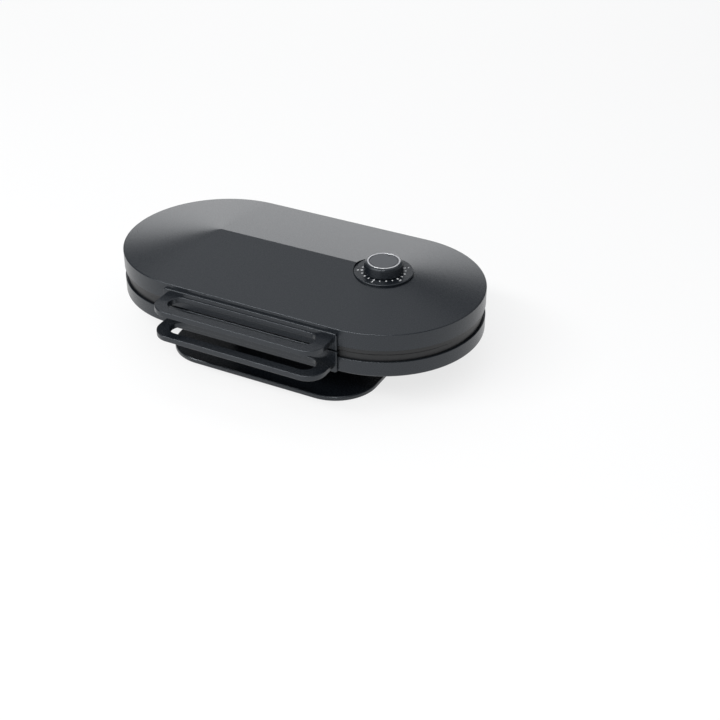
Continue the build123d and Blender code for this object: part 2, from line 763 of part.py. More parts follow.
def heating_element(side, half):
    """A tubular element in its groove: a half turn, two legs through the shield and a pin in each leg."""
    with BuildPart() as element:
        with BuildLine(bay(side, half, heater_depth)) as path:
            Line((-heater_leg, heater_turn), (0, heater_turn))
            CenterArc((0, 0), heater_turn, 90, -180)
            Line((0, -heater_turn), (-heater_leg, -heater_turn))
        with BuildSketch(Plane(path.line @ 0, z_dir=path.line % 0)):
            Circle(heater_radius)
        sweep(path=path.line)
        ends = [(-heater_leg, sy * heater_turn) for sy in (-1, 1)]
        origins = [bay(side, half, heater_depth).from_local_coords(Vector(x, y, 0)) for x, y in ends]
        outwards = [Plane(origin, z_dir=(-side, 0, 0)) for origin in origins]
        post(outwards, heater_pin_radius, heater_pin_length)
    return element.part


def heat_shield(side, half, sensor_opening):
    """A sheet dish behind the element. Its flange presses on the frame's deck, and screws hold it."""
    ledge = groove_height / 2 + deck_thickness
    outside = shield_radius + shield_thickness
    with BuildPart() as shield:
        with BuildSketch(bay_section(side, half)):
            Polygon(
                (0, shield_depth),
                (shield_radius, shield_depth),
                (shield_radius, ledge),
                (outside + shield_flange, ledge),
                (outside + shield_flange, ledge + shield_thickness),
                (outside, ledge + shield_thickness),
                (outside, shield_depth + shield_thickness),
                (0, shield_depth + shield_thickness),
                align=None,
            )
        revolve(axis=Axis((side * bay_x, body_y, 0), (0, 0, 1)))
        with BuildSketch(bay(side, half, shield_depth)):
            with PolarLocations(plate_boss_ring, 4):
                Circle(screw_radius + screw_clearance)
            if sensor_opening:
                with Locations((sensor_shift, 0)):
                    Circle(thermostat_opening)
        extrude(amount=shield_thickness, mode=Mode.SUBTRACT)
        with Locations(bay(side, half, heater_depth)):
            with Locations((-heater_leg / 2, heater_turn), (-heater_leg / 2, -heater_turn)):
                hole = heater_radius + head_clearance
                Cylinder(hole, heater_leg, rotation=(0, 90, 0), mode=Mode.SUBTRACT)
    return shield.part


def plate_screws(half):
    """The eight screws that hold one half's shields and plates."""
    seats = []
    for side in (-1, 1):
        seat = bay(side, half, shield_depth + shield_thickness)
        for x, y in ((1, 0), (0, 1), (-1, 0), (0, -1)):
            origin = seat.from_local_coords(Vector(x * plate_boss_ring, y * plate_boss_ring, 0))
            seats.append(Plane(origin, x_dir=(1, 0, 0), z_dir=(0, 0, -half)))
    with BuildPart() as screws:
        length = shield_drop + shield_thickness - 2 * boss_skin
        screw(seats, screw_radius, length, head_radius, plate_head_height)
    return screws.part


half_names = {-1: "lower", 1: "upper"}
side_names = {-1: "left", 1: "right"}
for half in (-1, 1):
    for side in (-1, 1):
        place = f"{half_names[half]}_{{}}_{side_names[side]}"
        under_dial = half == 1 and side == 1
        save(baking_plate(side, half), place.format("plate"))
        save(heating_element(side, half), place.format("heater"))
        save(heat_shield(side, half, under_dial), place.format("shield"))
    save(plate_screws(half), f"{half_names[half]}_plate_screws")

# Thermostat under the dial, on the right upper plate's back, and the other three plates' cut-outs


def sensor_spots(side, half, depth):
    """Planes at a plate's two sensor screws. They look towards the parting plane."""
    plane = bay(side, half, depth)
    ends = (sensor_shift - sensor_pitch / 2, sensor_shift + sensor_pitch / 2)
    origins = [plane.from_local_coords(Vector(x, 0, 0)) for x in ends]
    return [Plane(origin, x_dir=(1, 0, 0), z_dir=(0, 0, -half)) for origin in origins]


def sensor_bracket(side, half):
    """Adds the sheet strip that holds a sensor to a plate's back."""
    with BuildSketch(bay(side, half, pan_back)) as strip:
        with Locations((sensor_shift, 0)):
            SlotOverall(bracket_length, bracket_width)
    extrude(strip.sketch, amount=bracket_thickness)
    holes = sensor_spots(side, half, pan_back + bracket_thickness)
    post(holes, small_screw_radius + screw_clearance, bracket_thickness, Mode.SUBTRACT)


sensor_depth = pan_back + bracket_thickness
bush_depth = sensor_depth + thermostat_height
shaft_bottom = parting + sensor_depth + thermostat_height / 2
thermostat_seat = bay(1, 1, sensor_depth)

with BuildPart() as thermostat_bracket:
    sensor_bracket(1, 1)
save(thermostat_bracket.part, "thermostat_bracket")

with BuildPart() as thermostat_body:
    with BuildSketch(thermostat_seat):
        with Locations((sensor_shift, 0)):
            Rectangle(thermostat_length, thermostat_width)
    extrude(amount=thermostat_height)
    fillet(thermostat_body.edges().filter_by(Axis.Z), radius=2.0)
    post(spots([(dial_x, 0)], parting + bush_depth), bush_radius, bush_height)
    bore = shaft_radius + pin_clearance
    post(spots([(dial_x, 0)], shaft_bottom), bore, thermostat_height + bush_height, Mode.SUBTRACT)
save(thermostat_body.part, "thermostat_body")

with BuildPart() as thermostat_screws:
    seats = sensor_spots(1, 1, sensor_depth)
    screw(seats, small_screw_radius, sensor_screw_length, small_head_radius, small_head_height)
save(thermostat_screws.part, "thermostat_screws")

cutout_places = {"lower_cutouts": [(-1, -1), (1, -1)], "upper_cutout": [(-1, 1)]}
for name, places in cutout_places.items():
    with BuildPart() as cutouts:
        for side, half in places:
            sensor_bracket(side, half)
            with Locations(bay(side, half, sensor_depth)):
                with Locations((sensor_shift, 0)):
                    Cylinder(cutout_radius, cutout_height, align=(Align.CENTER, Align.CENTER, Align.MIN))
    save(cutouts.part, name)

    with BuildPart() as cutout_screws:
        for side, half in places:
            seats = sensor_spots(side, half, sensor_depth)
            screw(seats, small_screw_radius, sensor_screw_length, small_head_radius, small_head_height)
    save(cutout_screws.part, name.removesuffix("s") + "_screws")

# Loop handles: a plate against the wall and a flat loop that stands out of it


def handle(loop_z, plate_bottom, plate_top):
    """Adds a handle to the open part."""
    plate_half = handle_half + handle_plate_overhang
    front = -half_width - handle_plate_thickness
    back = -half_width
    corners = [(-plate_half, back), (-plate_half, front), (plate_half, front), (plate_half, back)]
    with BuildSketch(level(plate_bottom)) as plate_plan:
        Polygon(*corners, align=None)
        fillet(plate_plan.vertices().group_by(Axis.Y)[0], radius=handle_plate_round)
    extrude(plate_plan.sketch, amount=plate_top - plate_bottom)
    outer = -half_width - handle_reach
    with BuildSketch(level(loop_z)) as loop_plan:
        edge = [(-handle_half, front), (-handle_half, outer), (handle_half, outer), (handle_half, front)]
        Polygon(*edge, align=None)
        fillet(loop_plan.vertices().group_by(Axis.Y)[0], radius=handle_corner)
        slot_width = handle_reach - handle_plate_thickness - handle_slot_back - handle_bar
        with Locations((0, outer + handle_bar + slot_width / 2)):
            SlotOverall(2 * (handle_half - handle_side_bar), slot_width, mode=Mode.SUBTRACT)
    with BuildPart(mode=Mode.PRIVATE) as loop:
        extrude(loop_plan.sketch, amount=handle_thickness)
        rims = loop.faces().filter_by(Axis.Z).edges()
        chamfer([rim for rim in rims if rim.center().Y < body_y + front - 0.5], length=handle_edge)
    add(loop.part)


handle_pilot = handle_screw_length - wall + screw_end_clearance

with BuildPart() as upper_handle:
    handle(upper_loop, lid_face, lid_face + upper_plate_height)
    post(front_spots(1), small_screw_radius + pilot_clearance, handle_pilot, Mode.SUBTRACT)
save(upper_handle.part, "upper_handle")

with BuildPart() as lower_handle:
    handle(lower_loop, base_bottom - lower_plate_drop, base_face)
    post(front_spots(-1), small_screw_radius + pilot_clearance, handle_pilot, Mode.SUBTRACT)
save(lower_handle.part, "lower_handle")

for half, name in ((1, "upper_handle_screws"), (-1, "lower_handle_screws")):
    with BuildPart() as handle_screws:
        seats = [plane.offset(-wall) for plane in front_spots(half)]
        screw(seats, small_screw_radius, handle_screw_length, small_head_radius, small_head_height)
    save(handle_screws.part, name)

# Hinges: two lugs on each base bracket, a knuckle on each lid arm, and a pin through both


def hinge_profile(pad_z, radius):
    """The side view of a hinge leaf: the hull of its round eye and its pad's outer part."""
    out = half_width + hinge_pad_thickness
    with BuildSketch(Plane((0, body_y, 0), x_dir=(0, 1, 0), z_dir=(1, 0, 0))) as profile:
        with Locations((hinge_y, parting)):
            Circle(radius)
        with Locations((out, pad_z)):
            Rectangle(web_foot, hinge_pad_height - 2 * hinge_pad_edge, align=(Align.MIN, Align.CENTER))
        make_hull()
    return profile.sketch


def hinge_leaf(side, pad_z, offsets, width):
    """Adds a pad on the back wall and a web or lug of one width at each X offset from the hinge."""
    outside = Plane((side * hinge_x, body_y + half_width, pad_z), x_dir=(1, 0, 0), z_dir=(0, 1, 0))
    with BuildSketch(outside) as pad:
        RectangleRounded(hinge_pad_width, hinge_pad_height, hinge_pad_corner)
    extrude(pad.sketch, amount=hinge_pad_thickness)
    for offset_x in offsets:
        leaf = hinge_profile(pad_z, knuckle_radius).moved(Location((side * hinge_x + offset_x, 0, 0)))
        extrude(leaf, amount=width / 2, both=True)
    out = [plane.offset(-hinge_pad_thickness) for plane in back_spots(side, pad_z)]
    post(out, small_screw_radius + screw_clearance, hinge_pad_thickness, Mode.SUBTRACT)


def pin_plane(side, offset_x):
    """A plane across the hinge pin at an X offset from the hinge's middle."""
    return Plane((side * hinge_x + offset_x, body_y + hinge_y, parting), x_dir=(0, 1, 0), z_dir=(1, 0, 0))


def backing_plate(side, pad_z):
    """Adds the steel strip inside the wall that a hinge pad's screws thread into."""
    inside = Plane((side * hinge_x, body_y + half_width - wall, pad_z), x_dir=(1, 0, 0), z_dir=(0, -1, 0))
    with BuildSketch(inside) as strip:
        RectangleRounded(hinge_pad_width, backing_height, hinge_pad_corner)
    extrude(strip.sketch, amount=backing_thickness)
    inner = [plane.offset(wall) for plane in back_spots(side, pad_z)]
    post(inner, small_screw_radius + pilot_clearance, backing_thickness, Mode.SUBTRACT)


lug_offset = knuckle_width / 2 + hinge_side_clearance + lug_width / 2
hinge_half = lug_offset + lug_width / 2
for side in (-1, 1):
    with BuildPart() as hinge_bracket:
        hinge_leaf(side, base_pad_z, (-lug_offset, lug_offset), lug_width)
        post([pin_plane(side, -hinge_half)], pin_radius + pilot_clearance, 2 * hinge_half, Mode.SUBTRACT)
    save(hinge_bracket.part, f"hinge_bracket_{side_names[side]}")

    with BuildPart() as hinge_arm:
        hinge_leaf(side, lid_pad_z, (0,), knuckle_width)
        post([pin_plane(side, -hinge_half)], pin_radius + pin_clearance, 2 * hinge_half, Mode.SUBTRACT)
    save(hinge_arm.part, f"hinge_arm_{side_names[side]}")

    with BuildPart() as hinge_pin:
        pin_length = 2 * hinge_half + clip_thickness + pin_end
        post([pin_plane(side, -hinge_half)], pin_radius, pin_length)
        post([pin_plane(side, -hinge_half - pin_head_height)], pin_head_radius, pin_head_height)
        groove = pin_plane(side, hinge_half + clip_groove_gap)
        with BuildSketch(groove):
            Circle(pin_radius)
            Circle(pin_radius - clip_groove_depth, mode=Mode.SUBTRACT)
        extrude(amount=clip_thickness, mode=Mode.SUBTRACT)
        chamfer(hinge_pin.faces().sort_by(Axis.X)[0].edges(), length=pin_head_edge)
    save(hinge_pin.part, f"hinge_pin_{side_names[side]}")

with BuildPart() as hinge_clips:
    for side in (-1, 1):
        with BuildSketch(pin_plane(side, hinge_half + clip_groove_gap + clip_play / 2)):
            Circle(clip_radius)
            Circle(pin_radius - clip_groove_depth + clip_play, mode=Mode.SUBTRACT)
            Rectangle(2 * pin_radius, clip_mouth, align=(Align.MIN, Align.CENTER), mode=Mode.SUBTRACT)
        extrude(amount=clip_thickness - clip_play)
save(hinge_clips.part, "hinge_clips")

for pad_z, name in ((base_pad_z, "base_hinge"), (lid_pad_z, "lid_hinge")):
    with BuildPart() as backing:
        for side in (-1, 1):
            backing_plate(side, pad_z)
    save(backing.part, f"{name}_backing")

    with BuildPart() as hinge_screws:
        for side in (-1, 1):
            seats = [plane.offset(-hinge_pad_thickness) for plane in back_spots(side, pad_z)]
            length = hinge_pad_thickness + wall + backing_thickness
            screw(seats, small_screw_radius, length, small_head_radius, small_head_height)
    save(hinge_screws.part, f"{name}_screws")

# Knob: a hollow moulding with a bright ring, a cap and a pointer, pressed on the thermostat's shaft

knob_bottom = dial_face + knob_gap
knob_top = dial_face + knob_height
knob_hollow_depth = knob_height - knob_gap - knob_roof
socket_depth = knob_height - knob_gap - socket_roof
socket_top = knob_bottom + socket_depth
ring_outer_radius = knob_radius - knob_bevel_width - ring_border
ring_inner_radius = ring_outer_radius - ring_width
cap_radius = ring_inner_radius - cap_border
pointer_offset = cap_radius - pointer_border - pointer_length / 2
centre = spots([(dial_x, 0)], 0)[0]

with BuildPart() as knob_body:
    shoulder = knob_top - knob_bevel_height
    shoulder_radius = knob_radius - knob_draft
    up = (Align.CENTER, Align.CENTER, Align.MIN)
    with Locations(centre.offset(knob_bottom)):
        Cone(knob_radius, shoulder_radius, shoulder - knob_bottom, align=up)
    with Locations(centre.offset(shoulder)):
        Cone(shoulder_radius, knob_radius - knob_bevel_width, knob_bevel_height, align=up)
    with BuildSketch(centre.offset(knob_bottom)):
        Circle(knob_radius - knob_wall)
        Circle(knob_hub_radius, mode=Mode.SUBTRACT)
    extrude(amount=knob_hollow_depth, mode=Mode.SUBTRACT)
    with BuildSketch(centre.offset(knob_bottom)):
        Circle(shaft_radius + pilot_clearance)
        with Locations((0, shaft_radius - shaft_flat)):
            Rectangle(4 * shaft_radius, shaft_radius, align=(Align.CENTER, Align.MIN), mode=Mode.SUBTRACT)
    extrude(amount=socket_depth, mode=Mode.SUBTRACT)
    with BuildSketch(centre.offset(knob_top - ring_depth)):
        Circle(ring_outer_radius)
        Circle(ring_inner_radius, mode=Mode.SUBTRACT)
    extrude(amount=ring_depth, mode=Mode.SUBTRACT)
    post([centre.offset(knob_top - cap_thickness)], cap_radius, cap_thickness, Mode.SUBTRACT)
save(knob_body.part, "knob_body")

with BuildPart() as knob_ring:
    with BuildSketch(centre.offset(knob_top - ring_depth)):
        Circle(ring_outer_radius - cap_clearance)
        Circle(ring_inner_radius + cap_clearance, mode=Mode.SUBTRACT)
    extrude(amount=ring_depth)
save(knob_ring.part, "knob_ring")

with BuildPart() as knob_cap:
    post([centre.offset(knob_top - cap_thickness)], cap_radius - cap_clearance, cap_thickness)
    with BuildSketch(centre.offset(knob_top - cap_thickness)):
        with Locations((0, pointer_offset)):
            SlotOverall(pointer_length, pointer_width, rotation=90)
    extrude(amount=cap_thickness, mode=Mode.SUBTRACT)
save(knob_cap.part, "knob_cap")

with BuildPart() as knob_pointer:
    with BuildSketch(centre.offset(knob_top - cap_thickness)):
        with Locations((0, pointer_offset)):
            length = pointer_length - 2 * pilot_clearance
            SlotOverall(length, pointer_width - 2 * pilot_clearance, rotation=90)
    extrude(amount=cap_thickness)
save(knob_pointer.part, "knob_pointer")

with BuildPart() as thermostat_shaft:
    length = socket_top - shaft_bottom - 2 * screw_end_clearance
    post([centre.offset(shaft_bottom + screw_end_clearance)], shaft_radius, length)
    flat_bottom = knob_bottom - 0.5
    with BuildSketch(centre.offset(flat_bottom)):
        with Locations((0, shaft_radius - shaft_flat - pilot_clearance)):
            Rectangle(4 * shaft_radius, shaft_radius, align=(Align.CENTER, Align.MIN))
    extrude(amount=socket_depth * 2, mode=Mode.SUBTRACT)
save(thermostat_shaft.part, "thermostat_shaft")
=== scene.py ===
import json
from math import cos, hypot, pi, radians, sin

import bmesh
import bpy
from mathutils import Matrix, Vector


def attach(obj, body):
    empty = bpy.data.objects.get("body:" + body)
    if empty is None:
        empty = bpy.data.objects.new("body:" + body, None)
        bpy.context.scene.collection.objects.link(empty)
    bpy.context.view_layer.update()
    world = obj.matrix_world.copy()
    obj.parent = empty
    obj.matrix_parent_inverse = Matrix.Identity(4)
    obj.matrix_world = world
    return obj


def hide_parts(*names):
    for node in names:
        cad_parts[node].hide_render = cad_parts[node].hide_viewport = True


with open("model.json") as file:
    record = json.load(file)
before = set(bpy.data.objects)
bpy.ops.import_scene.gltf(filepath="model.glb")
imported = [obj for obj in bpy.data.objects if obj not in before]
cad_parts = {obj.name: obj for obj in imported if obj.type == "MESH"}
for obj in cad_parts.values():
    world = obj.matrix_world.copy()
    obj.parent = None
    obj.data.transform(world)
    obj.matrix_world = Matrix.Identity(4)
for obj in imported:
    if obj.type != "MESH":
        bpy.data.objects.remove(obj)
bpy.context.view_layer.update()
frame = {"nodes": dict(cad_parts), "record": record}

# A double waffle maker, put together from the table up. Shapes are drawn in millimetres, round the
# frame's own sizes, and set down in metres.
nodes = frame["nodes"]

# Foot pads: four round rubber feet pressed into the foot plate's recesses, each with a soft rim and
# a shallow dish underneath that grips the table. Black natural rubber, moulded, matt and a little dusty.


def span(node, axis):
    """From where to where a piece of the frame reaches along an axis, in millimetres."""
    places = [1000 * vertex.co["xyz".index(axis)] for vertex in nodes[node].data.vertices]
    return round(min(places), 2), round(max(places), 2)


def grained(name, colour, roughness, mottle, grain, swing, depth, stretch=(1, 1, 1), metallic=0):
    """A finish with cloudy changes of tone, and a fine grain in its gloss and its surface. mottle is
    the clouds' (scale, strength), grain the grain's scale, swing its roughness and depth its height
    in metres."""
    material = bpy.data.materials.new(name)
    material.use_nodes = True
    tree = material.node_tree
    shader = tree.nodes["Principled BSDF"]
    shader.inputs["Metallic"].default_value = metallic
    place = tree.nodes.new("ShaderNodeTexCoord")
    drawn = tree.nodes.new("ShaderNodeMapping")
    drawn.name = "drawn"
    drawn.inputs["Scale"].default_value = stretch
    cloud = tree.nodes.new("ShaderNodeTexNoise")
    cloud.inputs["Scale"].default_value = mottle[0]
    cloud.inputs["Detail"].default_value = 3
    tint = tree.nodes.new("ShaderNodeMix")
    tint.name = "tint"
    tint.data_type = "RGBA"
    tint.inputs["A"].default_value = [c * (1 - mottle[1]) for c in colour] + [1]
    tint.inputs["B"].default_value = [c * (1 + mottle[1]) for c in colour] + [1]
    speck = tree.nodes.new("ShaderNodeTexNoise")
    speck.inputs["Scale"].default_value = grain
    speck.inputs["Detail"].default_value = 4
    gloss = tree.nodes.new("ShaderNodeMapRange")
    gloss.name = "gloss"
    gloss.inputs["To Min"].default_value = roughness - swing
    gloss.inputs["To Max"].default_value = roughness + swing
    bump = tree.nodes.new("ShaderNodeBump")
    bump.name = "bump"
    bump.inputs["Strength"].default_value = 0.3
    bump.inputs["Distance"].default_value = depth
    link = tree.links.new
    link(place.outputs["Object"], drawn.inputs["Vector"])
    link(place.outputs["Object"], cloud.inputs["Vector"])
    link(drawn.outputs["Vector"], speck.inputs["Vector"])
    link(cloud.outputs["Fac"], tint.inputs["Factor"])
    link(tint.outputs["Result"], shader.inputs["Base Color"])
    link(speck.outputs["Fac"], gloss.inputs["Value"])
    link(gloss.outputs["Result"], shader.inputs["Roughness"])
    link(speck.outputs["Fac"], bump.inputs["Height"])
    link(bump.outputs["Normal"], shader.inputs["Normal"])
    return material


def finish_frame(slot, material):
    """Gives a finish to the frame's own meshes that wear it."""
    for row in frame["record"]["subparts"]:
        if row["material_slot"] == slot:
            mesh = nodes[row["node"]].data
            mesh.materials.clear()
            mesh.materials.append(material)


def section(points, rounded=(), closed=False):
    """An upright line through a few corners, each (distance from the axis, height). The rounded ones
    are given as {corner's place in the list: how far along its sides the round starts}."""
    shape = bmesh.new()
    line = [shape.verts.new((0, -reach, height)) for reach, height in points]
    ends = line[1:] + line[:1] if closed else line[1:]
    for start, end in zip(line, ends):
        shape.edges.new((start, end))
    for corner, width in dict(rounded).items():
        bmesh.ops.bevel(
            shape, geom=[line[corner]], affect="VERTICES", offset=width, offset_type="OFFSET",
            segments=4, profile=0.5, material=-1, clamp_overlap=False)
    return shape


def turned(shape, steps=96):
    """Spins a section a full turn about its upright axis."""
    bmesh.ops.spin(
        shape, geom=shape.verts[:] + shape.edges[:], cent=(0, 0, 0), axis=(0, 0, 1), dvec=(0, 0, 0),
        angle=2 * pi, steps=steps, use_merge=True, use_duplicate=False)
    return mended(shape)


def mended(shape):
    """Merges a shape's doubled points and turns its faces outwards."""
    bmesh.ops.remove_doubles(shape, verts=shape.verts, dist=0.001)
    bmesh.ops.recalc_face_normals(shape, faces=shape.faces)
    return shape


def moved(shape, place):
    bmesh.ops.translate(shape, vec=place, verts=shape.verts)
    return shape


def gathered(shapes):
    """Puts several shapes into one."""
    whole = bmesh.new()
    for shape in shapes:
        part = bpy.data.meshes.new("part")
        shape.to_mesh(part)
        shape.free()
        whole.from_mesh(part)
        bpy.data.meshes.remove(part)
    return whole


def put(name, shape, body, slot, material, *stands_for, crease=35):
    """Sets a finished shape down in metres, smooths it between its creases, and fixes it to its body."""
    bmesh.ops.scale(shape, vec=(0.001, 0.001, 0.001), verts=shape.verts)
    for face in shape.faces:
        face.smooth = True
    for edge in shape.edges:
        edge.smooth = len(edge.link_faces) == 2 and edge.calc_face_angle(0) < radians(crease)
    mesh = bpy.data.meshes.new(name)
    shape.to_mesh(mesh)
    shape.free()
    mesh.materials.append(material)
    piece = bpy.data.objects.new(name, mesh)
    bpy.context.scene.collection.objects.link(piece)
    shading = piece.modifiers.new("even_shading", "WEIGHTED_NORMAL")
    shading.keep_sharp = True
    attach(piece, body)
    if stands_for:
        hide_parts(*stands_for)
    return piece


rubber = grained("rubber", (0.012, 0.012, 0.013), 0.72, (60, 0.25), 900, 0.1, 0.00006)
finish_frame("black_rubber", rubber)
body_front, body_rear = span("base_shell", "y")
body_y = round((body_front + body_rear) / 2, 2)
pad_radius = 9
pad_height = span("foot_pads", "z")[1]
pad_x = span("foot_pads", "x")[1] - pad_radius
pad_y = 89
dish_radius = 5.6
dish_depth = 0.5
pad_line = [
    (0, dish_depth), (dish_radius, dish_depth), (dish_radius + 0.8, 0), (pad_radius, 0),
    (pad_radius, pad_height), (0, pad_height)]
pads = [
    moved(turned(section(pad_line, {2: 0.3, 3: 0.5}), 48), (sx * pad_x, body_y + sy * pad_y, 0))
    for sx in (-1, 1) for sy in (-1, 1)]
put("foot_pads_rubber", gathered(pads), "base", "black_rubber", rubber, "foot_pads")

# Foot plate: a low rounded slab moulded in charcoal plastic, with a fine spark-eroded grain and edges
# that are broken by a soft round. Two posts for the cord's clamp stand on it, inside the pedestal.
charcoal = grained("charcoal_moulding", (0.006, 0.0078, 0.0105), 0.27, (14, 0.07), 1800, 0.05, 0.00004)
charcoal.node_tree.nodes["Principled BSDF"].inputs["Specular IOR Level"].default_value = 0.57
charcoal.node_tree.nodes["Principled BSDF"].inputs["Specular Tint"].default_value = (0.95, 1, 1.06, 1)


def plan_of(node, corner):
    """Half the length, half the width and the corner radius of a frame piece, seen from above."""
    left, right = span(node, "x")
    front, rear = span(node, "y")
    return (right - left) / 2, (rear - front) / 2, corner


def inside_plan(point, plan):
    """How far in from such an outline, drawn round the body's middle, a point is."""
    half_length, half_depth, corner = plan
    x = abs(point.x) - half_length + corner
    y = abs(point.y - body_y) - half_depth + corner
    return corner - hypot(max(x, 0), max(y, 0)) - min(max(x, y), 0)


def level_with(point, height):
    return abs(point.z - height) < 0.01


def eased(node, width, chosen=lambda middle: True, steps=3, widest=10000):
    """A copy of a frame piece's mesh, merged, with its chosen edges rounded as its mould or die rounds
    them. Faces with more corners than the widest are cut into triangles first."""
    shape = bmesh.new()
    shape.from_mesh(nodes[node].data)
    bmesh.ops.scale(shape, vec=(1000, 1000, 1000), verts=shape.verts)
    bmesh.ops.remove_doubles(shape, verts=shape.verts, dist=0.002)
    bmesh.ops.dissolve_limit(shape, angle_limit=radians(0.2), verts=shape.verts, edges=shape.edges)
    wide = [face for face in shape.faces if len(face.verts) > widest]
    bmesh.ops.triangulate(shape, faces=wide)
    edges = [
        edge for edge in shape.edges
        if len(edge.link_faces) == 2 and edge.calc_face_angle(0) > radians(30)
        and chosen((edge.verts[0].co + edge.verts[1].co) / 2)]
    bmesh.ops.bevel(
        shape, geom=edges, affect="EDGES", offset=width, offset_type="OFFSET", segments=steps,
        profile=0.5, material=-1, clamp_overlap=False, miter_outer="SHARP", loop_slide=False)
    return shape


foot_plan = plan_of("foot_plate", 53)
foot = eased("foot_plate", 0.45, lambda p: inside_plan(p, foot_plan) < 1.5)
put("foot_plate_moulding", foot, "base", "charcoal_moulding", charcoal, "foot_plate")

# Pedestal: a round-cornered tube of the same charcoal plastic that lifts the base off the foot plate.
# The cord is wound round it for storage. Its two rims are eased where it meets the pieces above and below.
pedestal_plan = plan_of("pedestal", 50)
pedestal = eased("pedestal", 0.35, lambda p: inside_plan(p, pedestal_plan) < 0.2)
put("pedestal_moulding", pedestal, "base", "charcoal_moulding", charcoal, "pedestal")

# Cord gland: a black rubber sleeve in the pedestal's back wall. A lip holds it inside, a round flange
# covers the hole outside, and its ribbed boot bends with the cord.
gland_bore = 3.6
gland_neck = 7.3
lip_radius = 9.5
flange_radius = 10.5
wall_inside = -2.5
gland_start = -4.5
flange_end = 2
gland_end = 14
gland_line = [
    (gland_bore, gland_start), (lip_radius, gland_start), (lip_radius, wall_inside),
    (gland_neck, wall_inside), (gland_neck, 0), (flange_radius, 0), (flange_radius, flange_end)]
gland_rounds = {1: 0.6, 5: 0.3, 6: 0.9}
rib_pitch = 2.2
rib_height = 1.1
boot_taper = 1.7
for rib in range(5):
    rib_start = 3.0 + rib * rib_pitch
    reach = gland_neck - boot_taper * (rib_start - flange_end) / (gland_end - flange_end)
    gland_line += [
        (reach - rib_height, rib_start - 0.6), (reach - rib_height, rib_start),
        (reach, rib_start + 0.1), (reach - 0.2, rib_start + 1.4)]
    gland_rounds.update({len(gland_line) - 2: 0.25, len(gland_line) - 1: 0.25})
gland_line += [(5.4, gland_end), (gland_bore, gland_end)]
gland = turned(section(gland_line, gland_rounds, closed=True), 64)
bmesh.ops.rotate(gland, cent=(0, 0, 0), matrix=Matrix.Rotation(-pi / 2, 3, "X"), verts=gland.verts)
gland_height = sum(span("cord_gland", "z")) / 2
moved(gland, (0, span("pedestal", "y")[1], gland_height))
put("cord_gland_rubber", gland, "base", "black_rubber", rubber, "cord_gland")

# Base shell: a shallow charcoal tray. Its floor turns up in a round, and its rim shows as a narrow
# ledge under the base frame's band. Slots in the floor let the heat out.
half_length = span("base_shell", "x")[1]
half_width = round((body_rear - body_front) / 2, 2)
body_plan = (half_length, half_width, half_width)
base_rim = span("base_shell", "z")[1]
tray = eased("base_shell", 0.5, lambda p: level_with(p, base_rim) and inside_plan(p, body_plan) < 0.1)
put("base_shell_moulding", tray, "base", "charcoal_moulding", charcoal, "base_shell")

# Base frame: a matt black moulding that drops into the tray, holds the two lower plates and closes the
# base at the parting groove. Its outer band and the two round openings have eased edges.
black = grained("black_moulding", (0.006, 0.0065, 0.0075), 0.42, (14, 0.08), 1500, 0.06, 0.00005)
base_face = span("base_frame", "z")[1]
deck = eased("base_frame", 0.4, lambda p: level_with(p, base_face))
put("base_frame_moulding", deck, "base", "black_moulding", black, "base_frame")

# Baking plates: four aluminium castings, turned over each other in pairs. Each has five hearts full of
# studs and a dark non-stick coat, sprayed and baked, with a faint pebble and pale specks in it.
coating = grained("coated_casting", (0.022, 0.022, 0.024), 0.42, (25, 0.12), 700, 0.08, 0.00009)
tree = coating.node_tree
cells = tree.nodes.new("ShaderNodeTexVoronoi")
cells.inputs["Scale"].default_value = 420
dots = tree.nodes.new("ShaderNodeMapRange")
dots.inputs["From Min"].default_value = 0.12
dots.inputs["From Max"].default_value = 0.06
speckled = tree.nodes.new("ShaderNodeMix")
speckled.data_type = "RGBA"
speckled.inputs["B"].default_value = (0.16, 0.16, 0.17, 1)
tree.links.new(tree.nodes["Texture Coordinate"].outputs["Object"], cells.inputs["Vector"])
tree.links.new(cells.outputs["Distance"], dots.inputs["Value"])
tree.links.new(dots.outputs["Result"], speckled.inputs["Factor"])
tree.links.new(tree.nodes["tint"].outputs["Result"], speckled.inputs["A"])
tree.links.new(speckled.outputs["Result"], tree.nodes["Principled BSDF"].inputs["Base Color"])
lid_face = span("lid_frame", "z")[0]
parting = (base_face + lid_face) / 2
stud_depth = 3.7


def rim_or_stud(middle):
    """Is an edge's middle on a casting's rim, or level with the tops of its studs?"""
    depth = abs(middle.z - parting)
    return depth < 0.3 or abs(depth - stud_depth) < 0.1


for half, body in (("lower", "base"), ("upper", "lid")):
    for side in ("left", "right"):
        node = f"{half}_plate_{side}"
        cast = eased(node, 0.3, rim_or_stud, steps=2)
        put(f"{node}_casting", cast, body, "coated_casting", coating, node)

# Heating elements: steel tubes bent in a half turn and clipped in the castings' grooves. Their jackets
# have gone straw and blue with the heat.
element = grained("element_steel", (0.26, 0.24, 0.21), 0.38, (35, 0.35), 1200, 0.1, 0.00003, metallic=1)
element.node_tree.nodes["tint"].inputs["B"].default_value = (0.24, 0.27, 0.36, 1)
finish_frame("element_steel", element)

# Heat shields: dishes spun from bright aluminium sheet, screwed under and over the plates. The sheet
# keeps the fine lines that its rolling leaves.
sheet = grained("shield_sheet", (0.75, 0.76, 0.77), 0.27, (9, 0.05), 260, 0.1, 0.00002, (0.06, 1, 1), 1)
finish_frame("shield_sheet", sheet)

# Screws, hinge pins, clips, brackets and backing strips: steel parts with a thin bright zinc coat,
# which lies on them in crystal patches.
zinc = grained("screw_steel", (0.6, 0.6, 0.62), 0.32, (220, 0.14), 1600, 0.1, 0.00003, metallic=1)
finish_frame("screw_steel", zinc)

